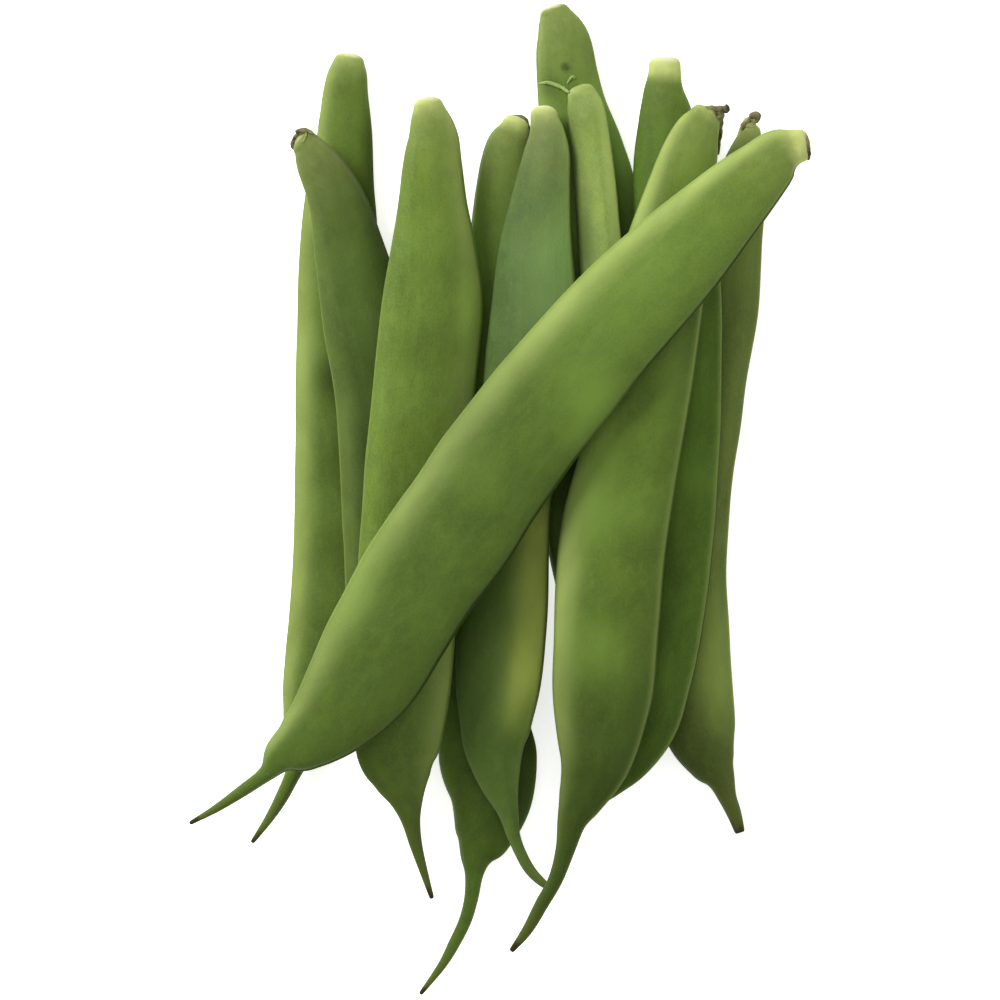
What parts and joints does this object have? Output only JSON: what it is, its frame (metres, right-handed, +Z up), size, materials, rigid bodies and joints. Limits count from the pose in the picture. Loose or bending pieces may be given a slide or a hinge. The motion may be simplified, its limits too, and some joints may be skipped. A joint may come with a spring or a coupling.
{
  "type": "green bean bundle",
  "caption": "Loose bundle of fresh flat green beans lying in a heap, stem ends one way and curved beaks the other, with one broad pod lying across the others.",
  "frame": {"origin": "middle of the bundle's footprint, at the level of the surface that it lies on", "axes": "+Z up; +Y from the curved beaks to the stem ends, the longest way; +X to the right when the stem ends point away"},
  "size_m": [0.1256, 0.1994, 0.0333],
  "materials": {
    "pod_green": "fresh pod skin, soft satin",
    "pod_deep_green": "fresh pod skin, soft satin",
    "pod_yellow_green": "fresh pod skin, soft satin",
    "pod_blue_green": "fresh pod skin, soft satin",
    "calyx_brown": "dry, rough and matt"
  },
  "bodies": {
    "root": {"pod_right_back": "pod_deep_green", "pod_centre_tall": "pod_green", "pod_left_back": "pod_green", "pod_centre_long": "pod_green", "pod_right_mid": "pod_deep_green", "pod_slim": "pod_yellow_green", "pod_left_inner": "pod_deep_green", "pod_centre_front": "pod_blue_green", "pod_left_front": "pod_green", "pod_right_front": "pod_green", "pod_crossing": "pod_green", "calyx_right_back": "calyx_brown", "calyx_left_inner": "calyx_brown", "calyx_right_front": "calyx_brown", "calyx_crossing": "calyx_brown"}
  },
  "joints": []
}
